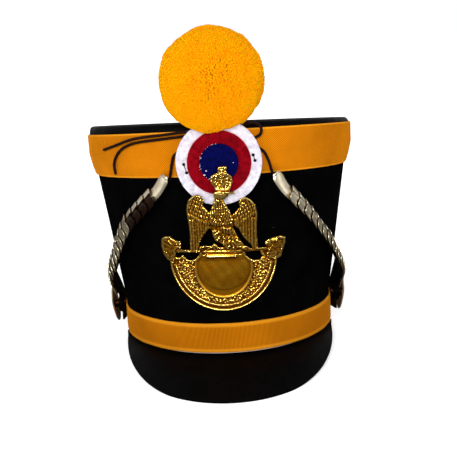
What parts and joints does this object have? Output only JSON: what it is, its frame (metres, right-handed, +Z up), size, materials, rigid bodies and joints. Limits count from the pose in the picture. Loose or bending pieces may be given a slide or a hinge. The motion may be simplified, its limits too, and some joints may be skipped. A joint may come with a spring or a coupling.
{
  "type": "shako hat",
  "caption": "Flared felt shako with leather top and peak, braid bands, eagle plate, cockade, pompom and chin scales laced up in front.",
  "frame": {"origin": "middle of the part's footprint, on the surface that it rests on", "axes": "+Z up, the front with its peak and plate faces -Y, +X to the right of someone who looks at the front"},
  "size_m": [0.2404, 0.293, 0.2878],
  "materials": {
    "black_felt": "dense black wool felt with a short nap",
    "black_leather": "smooth blackened leather, half gloss",
    "orange_braid": "woven worsted braid",
    "stamped_brass": "polished stamped brass",
    "pale_brass": "pale polished sheet brass",
    "yellow_wool": "looped wool yarn",
    "brown_lace": "round braided cord",
    "white_ribbon": "pleated ribbon",
    "red_ribbon": "pleated ribbon",
    "blue_ribbon": "pleated ribbon"
  },
  "bodies": {
    "root": {"boss_left": "pale_brass", "boss_right": "pale_brass", "chin_strap_left": "black_leather", "chin_strap_right": "black_leather", "cockade_blue": "blue_ribbon", "cockade_red": "red_ribbon", "cockade_white": "white_ribbon", "crown": "black_felt", "crown_top": "black_leather", "lace_left": "brown_lace", "lace_loop": "brown_lace", "lace_right": "brown_lace", "lace_tail_a": "brown_lace", "lace_tail_b": "brown_lace", "lower_band": "orange_braid", "peak": "black_leather", "plate": "stamped_brass", "pompom": "yellow_wool", "pompom_stem": "pale_brass", "scale_left_01": "pale_brass", "scale_left_02": "pale_brass", "scale_left_03": "pale_brass", "scale_left_04": "pale_brass", "scale_left_05": "pale_brass", "scale_left_06": "pale_brass", "scale_left_07": "pale_brass", "scale_left_08": "pale_brass", "scale_left_09": "pale_brass", "scale_left_10": "pale_brass", "scale_left_11": "pale_brass", "scale_left_12": "pale_brass", "scale_left_13": "pale_brass", "scale_left_14": "pale_brass", "scale_left_15": "pale_brass", "scale_left_16": "pale_brass", "scale_left_17": "pale_brass", "scale_right_01": "pale_brass", "scale_right_02": "pale_brass", "scale_right_03": "pale_brass", "scale_right_04": "pale_brass", "scale_right_05": "pale_brass", "scale_right_06": "pale_brass", "scale_right_07": "pale_brass", "scale_right_08": "pale_brass", "scale_right_09": "pale_brass", "scale_right_10": "pale_brass", "scale_right_11": "pale_brass", "scale_right_12": "pale_brass", "scale_right_13": "pale_brass", "scale_right_14": "pale_brass", "scale_right_15": "pale_brass", "scale_right_16": "pale_brass", "scale_right_17": "pale_brass", "tongue_left": "pale_brass", "tongue_right": "pale_brass", "upper_band": "orange_braid"}
  },
  "joints": []
}
